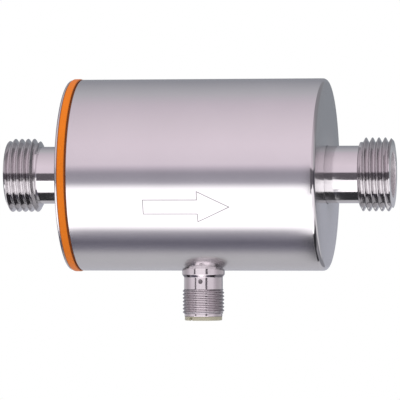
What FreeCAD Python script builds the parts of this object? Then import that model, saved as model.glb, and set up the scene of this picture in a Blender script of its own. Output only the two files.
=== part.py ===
import FreeCAD, Part
import math
import os

Vec = FreeCAD.Vector

# Sizes in mm. X runs along the flow from inlet to outlet and Z is up.
# The origin is the middle of the flow axis.

# Whole sensor
overall_length = 110.0
bore_radius = 6.25
play = 0.02
slip = 0.05
overshoot = 1.0

# Housing cup
body_radius = 27.1
cup_wall = 1.2
cup_open_x = -33.75
cup_end_x = 36.4
cup_end_wall = 1.5
cup_edge_round = 0.6
cup_open_round = 0.25
cup_inner_round = 0.6
neck_hole_radius = 8.25

# End cover and seal ring
cover_x = -37.0
cover_radius = 26.95
cover_rim = 0.75
cover_edge_round = 0.6
skirt_end_x = -29.5
skirt_radius = 25.85
skirt_inner_radius = 24.3
skirt_chamfer = 0.3
cover_groove_from = -32.6
cover_groove_width = 1.6
cover_groove_depth = 0.8
cover_seal_section = 0.41
seal_ring_radius = 27.3
seal_ring_lip_radius = 26.5
seal_ring_lip_x = -34.15
seal_ring_round = 0.3

# Nipples, with the outside diameter of a G 1/2 thread
thread_major = 20.955 / 2
thread_from = 46.9
neck_radius = 8.1
neck_end = 46.3
shoulder_radius = 9.3
nipple_face_radius = 9.6
mouth_chamfer = 0.3
flange_radius = 15.0
flange_inner = 30.6
flange_outer = 34.1
socket_radius = 12.5
socket_end = 21.0
gasket_radius = 14.5
sensor_radius = 0.95
sensor_from = 27.0
sensor_to = 33.1
sensor_lead_x = 24.0

# Measuring tube
tube_radius = 9.5
tube_half_length = 29.0
ring_groove_middle = 26.6
ring_groove_width = 2.0
ring_groove_radius = 8.3
boss_radius = 5.5
boss_end = 14.0
pocket_radius = 3.6
pocket_floor = 8.5

# Electrodes
electrode_radius = 1.5
electrode_tip = 6.27
electrode_flange_radius = 3.2
electrode_flange_from = 9.3
electrode_flange_to = 10.5
electrode_seal_radius = 2.3
stud_radius = 1.0
stud_end = 16.5
gland_bore_radius = 1.2
gland_end = 14.2
gland_slot_width = 1.0
gland_slot_depth = 1.2

# Magnetic circuit
yoke_inner = 17.8
yoke_outer = 19.3
yoke_half_width = 11.0
yoke_window_radius = 4.2
pole_saddle_outer = 11.0
pole_saddle_angle = 96.0
pole_saddle_half_width = 10.0
core_radius = 4.0
bobbin_from = 11.15
bobbin_to = 15.4
bobbin_flange = 0.6
bobbin_flange_radius = 8.5
bobbin_barrel_radius = 4.9
coil_radius = 8.2
coil_gap = 0.03
coil_round = 0.4
pole_screw_radius = 1.25
pole_screw_head_radius = 2.6
pole_screw_length = 6.0
pole_screw_sink = 0.2
pole_screw_slot_width = 0.6
pole_screw_slot_depth = 0.5

# Board and carriers
carrier_from = 14.0
carrier_to = 17.0
carrier_radius = 25.6
carrier_window_radius = 4.5
carrier_window_y = 17.0
carrier_window_z = -4.0
board_z = 21.0
board_thickness = 1.6
board_half_length = 26.0
board_half_width = 12.0
board_screw_x = 15.5
board_screw_y = 7.5
board_screw_radius = 0.95
board_screw_length = 5.0
board_screw_head_radius = 1.8
board_screw_head = 1.0
board_screw_chamfer = 0.4
board_screw_slot = 0.5
board_corner_round = 1.5
processor_size = (7.0, 7.0, 1.2)
coil_driver_size = (5.0, 6.0, 1.5)
coil_driver_x = 9.5
choke_size = (6.0, 6.0, 3.0)
choke_x = -21.5
capacitor_radius = 2.5
capacitor_height = 4.2
capacitor_x = 21.0
capacitor_y = 6.0

# Wire leads
lead_radius = 0.4
lead_gap = 0.05
lead_bend = 1.5
lead_path_radius = 20.1
lead_leave_angle = 62.0
coil_lead_x = 12.6
lower_lead_side_y = -14.6
lower_lead_turn_z = 11.0
lower_lead_board_y = -8.0
lower_lead_rise_z = 16.5

# Connector, with the outside diameter of an M12 thread
connector_x = 0.9
connector_flange_radius = 7.8
connector_flange_top = -21.5
connector_flange_low = -23.0
collar_radius = 6.0
collar_taper_from = -27.3
collar_low_radius = 5.68
collar_low = -28.55
connector_neck_radius = 5.46
connector_neck_from = -28.95
connector_neck_end = -32.3
connector_thread_major = 6.0
connector_thread_from = -32.75
connector_thread_to = -39.15
shell_end = -40.0
tip_end = -41.15
tip_radius = 5.28
tip_round = 0.25
dimple_sphere = 1.2
dimple_depth = 0.25
dimple_z = -30.1
socket_floor = -32.7
socket_wall_radius = 4.35
insert_top = -23.6
liner_radius = 4.85
pin_radius = 0.5
pin_circle = 2.9
pin_tip = -40.2
pin_tail = -20.7
pin_tip_round = 0.35
key_angle = -135.0
key_width = 1.2
key_set_back = 0.6
notch_angle = -124.0
notch_width = 1.1
notch_depth = 0.45
notch_height = 0.9
spacer_inner_radius = 5.0
spacer_radius = 7.5

# Flexible ribbon
ribbon_radius = 21.0
ribbon_thickness = 0.4
ribbon_half_width = 3.0
ribbon_end_angle = 62.0
ribbon_pad_radius = 4.2
ribbon_riser_from = 18.6
ribbon_room = 0.3


def on_axis(axis, along, radial):
    """Point at a distance along an axis and a distance from it."""
    if axis == "X":
        return Vec(along, 0, radial)
    if axis == "Y":
        return Vec(radial, along, 0)
    return Vec(radial, 0, along)


def rounded_wire(corners):
    """Closed wire through corners, each a point and the radius of its rounding."""
    joints = []
    count = len(corners)
    for i in range(count):
        point, radius = corners[i]
        if radius == 0:
            joints.append((point, None, point))
            continue
        back = corners[i - 1][0] - point
        ahead = corners[(i + 1) % count][0] - point
        back.normalize()
        ahead.normalize()
        half = back.getAngle(ahead) / 2
        inward = back + ahead
        inward.normalize()
        reach = radius / math.tan(half)
        middle = point + inward * (radius / math.sin(half) - radius)
        joints.append((point + back * reach, middle, point + ahead * reach))
    edges = []
    for i in range(count):
        entry, middle, leave = joints[i]
        if middle is not None:
            edges.append(Part.Arc(entry, middle, leave).toShape())
        following = joints[(i + 1) % count][0]
        if leave.distanceToPoint(following) > 1e-6:
            edges.append(Part.LineSegment(leave, following).toShape())
    return Part.Wire(edges)


def turned(axis, profile, sweep=360):
    """Solid of revolution from (along, radial) or (along, radial, rounding) corners."""
    corners = []
    for corner in profile:
        rounding = corner[2] if len(corner) > 2 else 0
        corners.append((on_axis(axis, corner[0], corner[1]), rounding))
    face = Part.Face(rounded_wire(corners))
    direction = on_axis(axis, 1, 0)
    return face.revolve(Vec(0, 0, 0), direction, sweep)


def tube(axis, start, end, inner, outer, sweep=360):
    """Plain ring, tube or curved strip about an axis through the origin."""
    return turned(axis, [(start, inner), (start, outer), (end, outer), (end, inner)], sweep)


def rod(start, end, radius):
    """Round bar between two points."""
    way = end - start
    return Part.makeCylinder(radius, way.Length, start, way)


def block(x, y, z, size):
    """Box with its middle at x, y and its bottom at z."""
    length, width, height = size
    return Part.makeBox(length, width, height, Vec(x - length / 2, y - width / 2, z))


def o_ring(axis, along, middle_radius, section):
    """Round-section ring about an axis through the origin."""
    return Part.makeTorus(middle_radius, section, on_axis(axis, along, 0), on_axis(axis, 1, 0))


def wire_lead(edges):
    """Round wire along a path of straight runs and arcs."""
    path = Part.Wire(edges)
    first = path.OrderedEdges[0]
    start = path.OrderedVertexes[0].Point
    way = first.tangentAt(first.FirstParameter)
    section = Part.Wire([Part.makeCircle(lead_radius, start, way)])
    return path.makePipeShell([section], True, True)


def bent_runs(points, bend):
    """Edges of straight runs through points, with a bend of one radius at each corner."""
    edges = []
    start = points[0]
    for i in range(1, len(points) - 1):
        corner = points[i]
        back = points[i - 1] - corner
        ahead = points[i + 1] - corner
        back.normalize()
        ahead.normalize()
        half = back.getAngle(ahead) / 2
        reach = bend / math.tan(half)
        inward = back + ahead
        inward.normalize()
        middle = corner + inward * (bend / math.sin(half) - bend)
        edges.append(Part.LineSegment(start, corner + back * reach).toShape())
        edges.append(Part.Arc(corner + back * reach, middle, corner + ahead * reach).toShape())
        start = corner + ahead * reach
    edges.append(Part.LineSegment(start, points[-1]).toShape())
    return edges


def arc_in_yz(middle_y, middle_z, radius, from_angle, to_angle):
    """Arc edge in the plane across the flow axis, with angles in degrees from +Y towards +Z."""
    points = []
    for angle in (from_angle, (from_angle + to_angle) / 2, to_angle):
        turn = math.radians(angle)
        points.append(Vec(0, middle_y + radius * math.cos(turn), middle_z + radius * math.sin(turn)))
    return Part.Arc(*points).toShape()


def mirrored_y(shape):
    """Copy of a shape on the other side of the XZ plane."""
    return shape.mirror(Vec(0, 0, 0), Vec(0, 1, 0))


def half_turn_x(shape):
    """Copy of a shape turned half round about the flow axis."""
    copy = shape.copy()
    copy.rotate(Vec(0, 0, 0), Vec(1, 0, 0), 180)
    return copy


def half_turn_z(shape):
    """Copy of a shape turned half round about the vertical axis."""
    copy = shape.copy()
    copy.rotate(Vec(0, 0, 0), Vec(0, 0, 1), 180)
    return copy


def make_housing():
    """Drawn cup, cover with its skirt, and the seal ring between them."""
    inner = body_radius - cup_wall
    cup = turned("X", [
        (cup_open_x, inner),
        (cup_open_x, body_radius, cup_open_round),
        (cup_end_x, body_radius, cup_edge_round),
        (cup_end_x, neck_hole_radius),
        (cup_end_x - cup_end_wall, neck_hole_radius),
        (cup_end_x - cup_end_wall, inner, cup_inner_round),
    ])
    hole = rod(Vec(connector_x, 0, 0), Vec(connector_x, 0, -body_radius - overshoot), collar_radius + slip)
    cup = cup.cut(hole)

    rim_x = cover_x + cover_rim
    plate_x = -(cup_end_x - cup_end_wall)
    groove_floor = skirt_radius - cover_groove_depth
    groove_to = cover_groove_from + cover_groove_width
    cover = turned("X", [
        (cover_x, neck_hole_radius),
        (cover_x, cover_radius, cover_edge_round),
        (rim_x, cover_radius),
        (rim_x, skirt_radius),
        (cover_groove_from, skirt_radius),
        (cover_groove_from, groove_floor),
        (groove_to, groove_floor),
        (groove_to, skirt_radius),
        (skirt_end_x - skirt_chamfer, skirt_radius),
        (skirt_end_x, skirt_radius - skirt_chamfer),
        (skirt_end_x, skirt_inner_radius),
        (plate_x, skirt_inner_radius),
        (plate_x, neck_hole_radius),
    ])
    seal_middle = groove_floor + cover_seal_section + play
    cover_seal = o_ring("X", (cover_groove_from + groove_to) / 2, seal_middle, cover_seal_section)

    ring = turned("X", [
        (rim_x + play, skirt_radius + play),
        (rim_x + play, seal_ring_radius, seal_ring_round),
        (seal_ring_lip_x, seal_ring_radius, seal_ring_round),
        (seal_ring_lip_x, seal_ring_lip_radius),
        (cup_open_x - play, seal_ring_lip_radius),
        (cup_open_x - play, skirt_radius + play),
    ])
    return {
        "housing_cup": cup,
        "end_cover": cover,
        "cover_o_ring": cover_seal,
        "seal_ring": ring,
    }


def make_nipples():
    """Two turned nipples with flat gaskets, and the temperature sensor in the outlet flange."""
    end = overall_length / 2
    chamfer = thread_major - nipple_face_radius
    nipple = turned("X", [
        (socket_end, tube_radius + slip),
        (socket_end, socket_radius),
        (flange_inner, socket_radius),
        (flange_inner, flange_radius),
        (flange_outer, flange_radius),
        (flange_outer, neck_radius),
        (neck_end, neck_radius),
        (neck_end, shoulder_radius),
        (thread_from, thread_major),
        (end - chamfer, thread_major),
        (end, nipple_face_radius),
        (end, bore_radius + mouth_chamfer),
        (end - mouth_chamfer, bore_radius),
        (tube_half_length, bore_radius),
        (tube_half_length, tube_radius + slip),
    ])
    inlet = half_turn_z(nipple)

    sensor_z = (socket_radius + flange_radius) / 2
    sensor_start = Vec(sensor_from, 0, sensor_z)
    sensor = rod(sensor_start, Vec(sensor_to, 0, sensor_z), sensor_radius)
    sensor_hole = rod(sensor_start, Vec(sensor_to + slip, 0, sensor_z), sensor_radius + slip)
    outlet = nipple.cut(sensor_hole)
    sensor_lead = wire_lead(bent_runs([
        Vec(sensor_from - lead_gap, 0, sensor_z),
        Vec(sensor_lead_x, 0, sensor_z),
        Vec(sensor_lead_x, 0, board_z - lead_gap),
    ], lead_bend))

    gasket = tube(
        "X",
        flange_outer + play,
        cup_end_x - cup_end_wall - play,
        neck_radius + 2 * slip,
        gasket_radius,
    )
    return {
        "inlet_nipple": inlet,
        "outlet_nipple": outlet,
        "inlet_gasket": half_turn_z(gasket),
        "outlet_gasket": gasket,
        "temperature_sensor": sensor,
        "temperature_lead": sensor_lead,
    }


def electrode_route():
    """Path from the rear electrode's stud, through the yoke's window and round the yoke, up to the board."""
    inner = math.sqrt((lead_path_radius - lead_bend) ** 2 - lead_bend ** 2)
    join = math.degrees(math.atan2(lead_bend, inner))
    leave = math.radians(lead_leave_angle)
    outer_y = (lead_path_radius + lead_bend) * math.cos(leave)
    outer_z = (lead_path_radius + lead_bend) * math.sin(leave)
    rise = Vec(0, outer_y - lead_bend, outer_z)
    return [
        Part.LineSegment(Vec(0, stud_end + lead_gap, 0), Vec(0, inner, 0)).toShape(),
        arc_in_yz(inner, lead_bend, lead_bend, -90, join),
        arc_in_yz(0, 0, lead_path_radius, join, lead_leave_angle),
        arc_in_yz(outer_y, outer_z, lead_bend, lead_leave_angle + 180, 180),
        Part.LineSegment(rise, Vec(0, rise.y, board_z - lead_gap)).toShape(),
    ]


def make_tube():
    """Measuring tube with electrode bosses, its two end seals and the electrodes."""
    half = tube_half_length - play
    inner_edge = ring_groove_middle - ring_groove_width / 2
    outer_edge = ring_groove_middle + ring_groove_width / 2
    body = turned("X", [
        (-half, bore_radius),
        (-half, tube_radius),
        (-outer_edge, tube_radius),
        (-outer_edge, ring_groove_radius),
        (-inner_edge, ring_groove_radius),
        (-inner_edge, tube_radius),
        (inner_edge, tube_radius),
        (inner_edge, ring_groove_radius),
        (outer_edge, ring_groove_radius),
        (outer_edge, tube_radius),
        (half, tube_radius),
        (half, bore_radius),
    ])
    bosses = rod(Vec(0, -boss_end, 0), Vec(0, boss_end, 0), boss_radius)
    bosses = bosses.cut(rod(Vec(-half, 0, 0), Vec(half, 0, 0), (bore_radius + tube_radius) / 2))
    body = body.fuse(bosses).removeSplitter()
    body = body.cut(rod(Vec(0, -boss_end, 0), Vec(0, boss_end, 0), electrode_radius + play))
    pocket = rod(Vec(0, pocket_floor, 0), Vec(0, boss_end + overshoot, 0), pocket_radius)
    body = body.cut(pocket)
    body = body.cut(mirrored_y(pocket))

    section = (tube_radius + slip - ring_groove_radius) / 2
    end_seal = o_ring("X", ring_groove_middle, ring_groove_radius + section, section - 0.005)

    electrode = turned("Y", [
        (electrode_tip, 0),
        (electrode_tip, electrode_radius),
        (electrode_flange_from, electrode_radius),
        (electrode_flange_from, electrode_flange_radius),
        (electrode_flange_to, electrode_flange_radius),
        (electrode_flange_to, stud_radius),
        (stud_end, stud_radius),
        (stud_end, 0),
    ])
    seal_section = (electrode_flange_from - pocket_floor) / 2 - 0.005
    seal_y = (pocket_floor + electrode_flange_from) / 2
    seal = o_ring("Y", seal_y, electrode_seal_radius, seal_section)
    gland = turned("Y", [
        (electrode_flange_to + play, gland_bore_radius),
        (electrode_flange_to + play, pocket_radius - slip),
        (gland_end, pocket_radius - slip),
        (gland_end, gland_bore_radius),
    ])
    slot_size = (2 * pocket_radius, 2 * gland_slot_depth, gland_slot_width)
    gland = gland.cut(block(0, gland_end, -gland_slot_width / 2, slot_size))

    rear_lead = wire_lead(electrode_route())
    return {
        "measuring_tube": body,
        "inlet_o_ring": half_turn_z(end_seal),
        "outlet_o_ring": end_seal,
        "electrode_rear": electrode,
        "electrode_front": mirrored_y(electrode),
        "electrode_seal_rear": seal,
        "electrode_seal_front": mirrored_y(seal),
        "electrode_gland_rear": gland,
        "electrode_gland_front": mirrored_y(gland),
        "electrode_lead_rear": rear_lead,
        "electrode_lead_front": mirrored_y(rear_lead),
    }


def make_magnet():
    """Pole pieces, wound coils and the yoke ring that closes the magnetic circuit."""
    head_cone = (pole_screw_head_radius - pole_screw_radius) * 0.8
    screw_top = yoke_outer - pole_screw_sink
    screw_low = screw_top - head_cone - pole_screw_length
    screw = turned("Z", [
        (screw_low, 0),
        (screw_low, pole_screw_radius),
        (screw_top - head_cone, pole_screw_radius),
        (screw_top, pole_screw_head_radius),
        (screw_top, 0),
    ])
    slot_size = (2 * pole_screw_head_radius, pole_screw_slot_width, pole_screw_slot_depth)
    screw = screw.cut(block(0, 0, screw_top - pole_screw_slot_depth, slot_size))
    screw_room = turned("Z", [
        (screw_low - slip, 0),
        (screw_low - slip, pole_screw_radius + slip),
        (screw_top - head_cone - slip, pole_screw_radius + slip),
        (screw_top, pole_screw_head_radius + 2 * slip),
        (screw_top + overshoot, pole_screw_head_radius + 2 * slip),
        (screw_top + overshoot, 0),
    ])

    half = pole_saddle_half_width
    saddle = tube("X", -half, half, tube_radius + slip, pole_saddle_outer, pole_saddle_angle)
    saddle.rotate(Vec(0, 0, 0), Vec(1, 0, 0), -pole_saddle_angle / 2)
    saddle_middle = (tube_radius + pole_saddle_outer) / 2
    core = rod(Vec(0, 0, saddle_middle), Vec(0, 0, yoke_outer), core_radius)
    inside_yoke = rod(Vec(-half, 0, 0), Vec(half, 0, 0), yoke_inner - play)
    pole = saddle.fuse(core.common(inside_yoke)).removeSplitter()
    pole = pole.cut(screw_room)

    bobbin = turned("Z", [
        (bobbin_from, core_radius + 2 * slip),
        (bobbin_from, bobbin_flange_radius),
        (bobbin_from + bobbin_flange, bobbin_flange_radius),
        (bobbin_from + bobbin_flange, bobbin_barrel_radius),
        (bobbin_to - bobbin_flange, bobbin_barrel_radius),
        (bobbin_to - bobbin_flange, bobbin_flange_radius),
        (bobbin_to, bobbin_flange_radius),
        (bobbin_to, core_radius + 2 * slip),
    ])
    coil_from = bobbin_from + bobbin_flange + coil_gap
    coil_to = bobbin_to - bobbin_flange - coil_gap
    coil = turned("Z", [
        (coil_from, bobbin_barrel_radius + coil_gap),
        (coil_from, coil_radius, coil_round),
        (coil_to, coil_radius, coil_round),
        (coil_to, bobbin_barrel_radius + coil_gap),
    ])

    yoke = tube("X", -yoke_half_width, yoke_half_width, yoke_inner, yoke_outer)
    yoke = yoke.cut(rod(Vec(0, -yoke_outer, 0), Vec(0, yoke_outer, 0), yoke_window_radius))
    yoke = yoke.cut(screw_room)
    yoke = yoke.cut(half_turn_x(screw_room))

    coil_z = (coil_from + coil_to) / 2
    upper_lead = wire_lead(bent_runs([
        Vec(coil_radius + lead_gap, 0, coil_z),
        Vec(coil_lead_x, 0, coil_z),
        Vec(coil_lead_x, 0, board_z - lead_gap),
    ], lead_bend))
    lower_lead = wire_lead(bent_runs([
        Vec(coil_radius + lead_gap, 0, -coil_z),
        Vec(coil_lead_x, 0, -coil_z),
        Vec(coil_lead_x, lower_lead_side_y, -coil_z),
        Vec(coil_lead_x, lower_lead_side_y, lower_lead_turn_z),
        Vec(coil_lead_x, lower_lead_board_y, lower_lead_rise_z),
        Vec(coil_lead_x, lower_lead_board_y, board_z - lead_gap),
    ], lead_bend))
    return {
        "pole_piece_upper": pole,
        "pole_piece_lower": half_turn_x(pole),
        "pole_screws": Part.makeCompound([screw, half_turn_x(screw)]),
        "magnet_yoke": yoke,
        "coil_bobbin_upper": bobbin,
        "coil_bobbin_lower": half_turn_x(bobbin),
        "field_coil_upper": coil,
        "field_coil_lower": half_turn_x(coil),
        "coil_lead_upper": upper_lead,
        "coil_lead_lower": lower_lead,
    }


def make_board():
    """Circuit board with its larger components, on two plastic discs around the tube."""
    carrier = tube("X", carrier_from, carrier_to, tube_radius + 2 * slip, carrier_radius)
    carrier_middle = (carrier_from + carrier_to) / 2
    carrier_top = block(carrier_middle, 0, board_z - play, (2 * carrier_radius,) * 3)
    carrier = carrier.cut(carrier_top)
    for side in (-1, 1):
        spot = Vec(board_screw_x, side * board_screw_y, 0)
        low = spot + Vec(0, 0, board_z - board_screw_length - slip)
        carrier = carrier.cut(rod(low, spot + Vec(0, 0, carrier_radius), board_screw_radius + slip))
        window_start = Vec(carrier_from - overshoot, side * carrier_window_y, carrier_window_z)
        window_end = Vec(carrier_to + overshoot, side * carrier_window_y, carrier_window_z)
        carrier = carrier.cut(rod(window_start, window_end, carrier_window_radius))

    board = block(0, 0, board_z, (2 * board_half_length, 2 * board_half_width, board_thickness))
    corners = [edge for edge in board.Edges if abs(edge.tangentAt(edge.FirstParameter).z) > 0.99]
    board = board.makeFillet(board_corner_round, corners)
    board_top = board_z + board_thickness
    head_top = board_top + board_screw_head
    screws = []
    for x in (-board_screw_x, board_screw_x):
        for y in (-board_screw_y, board_screw_y):
            board = board.cut(rod(Vec(x, y, board_z), Vec(x, y, board_top), board_screw_radius + 3 * slip))
            screw = turned("Z", [
                (board_z - board_screw_length, 0),
                (board_z - board_screw_length, board_screw_radius),
                (board_top + play, board_screw_radius),
                (board_top + play, board_screw_head_radius),
                (head_top - board_screw_chamfer, board_screw_head_radius),
                (head_top, board_screw_head_radius - board_screw_chamfer),
                (head_top, 0),
            ])
            slot_size = (2 * board_screw_head_radius, board_screw_slot, board_screw_slot)
            screw = screw.cut(block(0, 0, head_top - board_screw_slot, slot_size))
            screw.translate(Vec(x, y, 0))
            screws.append(screw)

    processor = block(0, 0, board_top + play, processor_size)
    driver = block(coil_driver_x, 0, board_top + play, coil_driver_size)
    capacitors = []
    for y in (-capacitor_y, capacitor_y):
        capacitor = turned("Z", [
            (board_z - play, 0),
            (board_z - play, capacitor_radius),
            (board_z - capacitor_height, capacitor_radius, coil_round),
            (board_z - capacitor_height, 0),
        ])
        capacitor.translate(Vec(capacitor_x, y, 0))
        capacitors.append(capacitor)
    choke = block(choke_x, 0, board_z - choke_size[2] - play, choke_size)
    return {
        "board_carrier_outlet": carrier,
        "board_carrier_inlet": half_turn_z(carrier),
        "main_board": board,
        "board_screws": Part.makeCompound(screws),
        "processor_chip": processor,
        "coil_driver_chip": driver,
        "filter_capacitors": Part.makeCompound(capacitors),
        "choke": choke,
    }


def make_connector():
    """Plug connector in the bottom of the housing, with its seal, spacer and ribbon."""
    shell = turned("Z", [
        (connector_flange_top, liner_radius + play),
        (connector_flange_top, connector_flange_radius),
        (connector_flange_low, connector_flange_radius),
        (connector_flange_low, collar_radius),
        (collar_taper_from, collar_radius),
        (collar_low, collar_low_radius),
        (connector_neck_from, connector_neck_radius),
        (connector_neck_end, connector_neck_radius),
        (connector_thread_from, connector_thread_major),
        (connector_thread_to, connector_thread_major),
        (shell_end, tip_radius),
        (shell_end, liner_radius + play),
    ])
    dimple_y = dimple_depth - dimple_sphere - connector_neck_radius
    shell = shell.cut(Part.makeSphere(dimple_sphere, Vec(0, dimple_y, dimple_z)))

    insert = turned("Z", [
        (insert_top, 0),
        (insert_top, liner_radius),
        (shell_end - play, liner_radius),
        (shell_end - play, tip_radius),
        (tip_end, tip_radius, tip_round),
        (tip_end, socket_wall_radius),
        (socket_floor, socket_wall_radius),
        (socket_floor, 0),
    ])
    key_z = tip_end + key_set_back
    key = block(socket_wall_radius - key_width / 4, 0, key_z, (key_width, key_width, socket_floor - tip_end))
    key.rotate(Vec(0, 0, 0), Vec(0, 0, 1), key_angle)
    insert = insert.fuse(key).removeSplitter()
    notch = block(tip_radius, 0, tip_end, (2 * notch_depth, notch_width, notch_height))
    notch.rotate(Vec(0, 0, 0), Vec(0, 0, 1), notch_angle)
    insert = insert.cut(notch)

    pins = []
    for quarter in range(4):
        turn = math.radians(90 * quarter)
        spot = Vec(pin_circle * math.cos(turn), pin_circle * math.sin(turn), 0)
        insert = insert.cut(rod(spot + Vec(0, 0, tip_end), spot + Vec(0, 0, pin_tail), pin_radius + play))
        pin = turned("Z", [
            (pin_tip, 0),
            (pin_tip, pin_radius, pin_tip_round),
            (pin_tail, pin_radius),
            (pin_tail, 0),
        ])
        pin.translate(spot)
        pins.append(pin)

    gasket_top = connector_flange_low - play
    gasket = tube("Z", -body_radius, gasket_top, collar_radius + 2 * slip, connector_flange_radius)
    gasket.translate(Vec(connector_x, 0, 0))
    inside_cup = rod(Vec(cup_open_x, 0, 0), Vec(cup_end_x, 0, 0), body_radius - cup_wall - play)
    gasket = gasket.common(inside_cup)

    spacer_low = connector_flange_top + play
    spacer = tube("Z", spacer_low, -yoke_outer - play, spacer_inner_radius, spacer_radius)
    way_out_width = 2 * (ribbon_half_width + ribbon_room)
    way_out_size = (way_out_width, 2 * spacer_radius, -yoke_outer - spacer_low)
    spacer = spacer.cut(block(0, spacer_radius, spacer_low, way_out_size))

    half = ribbon_half_width
    ribbon_outer = ribbon_radius + ribbon_thickness
    ribbon = tube("X", -half, half, ribbon_radius, ribbon_outer, 90 + ribbon_end_angle)
    ribbon.rotate(Vec(0, 0, 0), Vec(1, 0, 0), 180)
    pad = rod(Vec(0, 0, -ribbon_outer), Vec(0, 0, -ribbon_radius), ribbon_pad_radius)
    end_y = (ribbon_radius + ribbon_thickness / 2) * math.cos(math.radians(ribbon_end_angle))
    riser_height = board_z - play - ribbon_riser_from
    riser = block(0, end_y, ribbon_riser_from, (2 * half, ribbon_thickness, riser_height))
    ribbon = ribbon.fuse([pad, riser]).removeSplitter()
    for pin in pins:
        spot = pin.CenterOfMass
        hole_low = Vec(spot.x, spot.y, -ribbon_outer - overshoot)
        hole_high = Vec(spot.x, spot.y, -ribbon_radius + overshoot)
        ribbon = ribbon.cut(rod(hole_low, hole_high, pin_radius + play))

    pin_set = Part.makeCompound(pins)
    for shape in (shell, insert, pin_set, spacer, ribbon):
        shape.translate(Vec(connector_x, 0, 0))
    return {
        "connector_shell": shell,
        "connector_insert": insert,
        "contact_pins": pin_set,
        "connector_gasket": gasket,
        "connector_spacer": spacer,
        "flex_ribbon": ribbon,
    }


os.makedirs("parts", exist_ok=True)
nodes = {}
nodes.update(make_housing())
nodes.update(make_nipples())
nodes.update(make_tube())
nodes.update(make_magnet())
nodes.update(make_board())
nodes.update(make_connector())
for name, shape in nodes.items():
    shape.exportStep("parts/" + name + ".step")
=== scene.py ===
import logging
import math
from collections.abc import Callable, Sequence
from dataclasses import dataclass
from enum import Enum

import bmesh
import bpy
from bmesh.types import BMEdge, BMesh, BMVert
from bpy.types import Material, Mesh, Node, NodeSocket, NodeTree, Object
from mathutils import Matrix, Vector


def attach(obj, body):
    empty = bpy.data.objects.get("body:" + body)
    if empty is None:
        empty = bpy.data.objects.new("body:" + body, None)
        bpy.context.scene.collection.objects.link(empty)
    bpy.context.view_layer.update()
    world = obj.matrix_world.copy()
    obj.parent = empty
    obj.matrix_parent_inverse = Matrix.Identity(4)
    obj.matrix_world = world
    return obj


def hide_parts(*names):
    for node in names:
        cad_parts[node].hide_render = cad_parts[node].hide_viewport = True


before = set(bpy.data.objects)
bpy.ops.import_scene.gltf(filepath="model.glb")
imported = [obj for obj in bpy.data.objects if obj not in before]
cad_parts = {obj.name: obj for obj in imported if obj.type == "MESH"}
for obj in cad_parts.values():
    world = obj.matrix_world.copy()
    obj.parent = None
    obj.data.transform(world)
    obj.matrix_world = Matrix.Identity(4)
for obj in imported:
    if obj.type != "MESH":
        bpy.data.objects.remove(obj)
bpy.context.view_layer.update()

MM = 0.001
WELD = 0.0005 * MM
ROUND_SEGMENTS = 8
SHARP_ANGLE = math.radians(32)
MASK_EDGE = 0.05 * MM
NOISE_LOW = 0.25
NOISE_HIGH = 0.75
COARSE_LINES = 0.13
COARSE_SHARE = 0.6
PIT_SHARE = 0.5
PLUG_X = 0.9 * MM
BODY = "root"
Colour = tuple[float, float, float]
Place = tuple[float, float, float]
Inputs = dict[str | int, object]
log = logging.getLogger("flow_sensor")


class Axis(Enum):
    """Line that a turned piece is centred on: a point on it, its way and the side of its profile."""

    FLOW = (Vector((0, 0, 0)), Vector((1, 0, 0)), Vector((0, 0, 1)))
    PLUG = (Vector((PLUG_X, 0, 0)), Vector((0, 0, -1)), Vector((1, 0, 0)))

    @property
    def middle(self) -> Vector:
        """Point on the axis."""
        return self.value[0]

    @property
    def way(self) -> Vector:
        """Unit vector along the axis."""
        return self.value[1]

    @property
    def across(self) -> Vector:
        """Factors that leave only what lies across the axis."""
        return Vector([1 - abs(part) for part in self.way])

    def point(self, along: float, radial: float) -> Vector:
        """Point of a profile, from its distances along the axis and away from it."""
        middle, way, side = self.value
        return middle + way * along + side * radial

    def place(self, point: Vector) -> tuple[float, float]:
        """Distances of a point along the axis and away from it."""
        along = (point - self.middle).dot(self.way)
        return along, (point - self.middle - self.way * along).length


class Side(Enum):
    """End of the flow sensor that a nipple stands on."""

    INLET = "inlet"
    OUTLET = "outlet"


class Carving(Enum):
    """How a tool shape changes a piece."""

    TAKE_AWAY = "DIFFERENCE"
    JOIN = "UNION"


@dataclass(frozen=True)
class Corner:
    """Corner of a turned profile, with the length of edge that its rounding takes."""

    along: float
    radial: float
    rounding: float = 0.0


def added(bm: BMesh, known: set[BMVert]) -> list[BMVert]:
    """Vertices of a mesh that are not known yet."""
    return [vert for vert in bm.verts if vert not in known]


def profile_wire(bm: BMesh, axis: Axis, corners: Sequence[Corner], closed: bool) -> list[BMVert | BMEdge]:
    """Draw a profile as a wire and round its corners.

    Args:
        bm: Mesh to draw in.
        axis: Axis of the turned piece.
        corners: Corners in order.
        closed: Whether the last corner joins the first.

    Returns:
        Vertices and edges of the wire.
    """
    known = set(bm.verts)
    verts = [bm.verts.new(axis.point(corner.along, corner.radial)) for corner in corners]
    pairs = list(zip(verts, verts[1:]))
    if closed:
        pairs.append((verts[-1], verts[0]))
    for pair in pairs:
        bm.edges.new(pair)
    for vert, corner in zip(verts, corners):
        if corner.rounding:
            bmesh.ops.bevel(
                bm, geom=[vert], offset=corner.rounding, offset_type="OFFSET", affect="VERTICES",
                segments=ROUND_SEGMENTS, profile=0.5, material=-1,
            )
    wire = added(bm, known)
    edges = {edge for vert in wire for edge in vert.link_edges}
    return wire + sorted(edges, key=lambda edge: edge.index)


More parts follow.
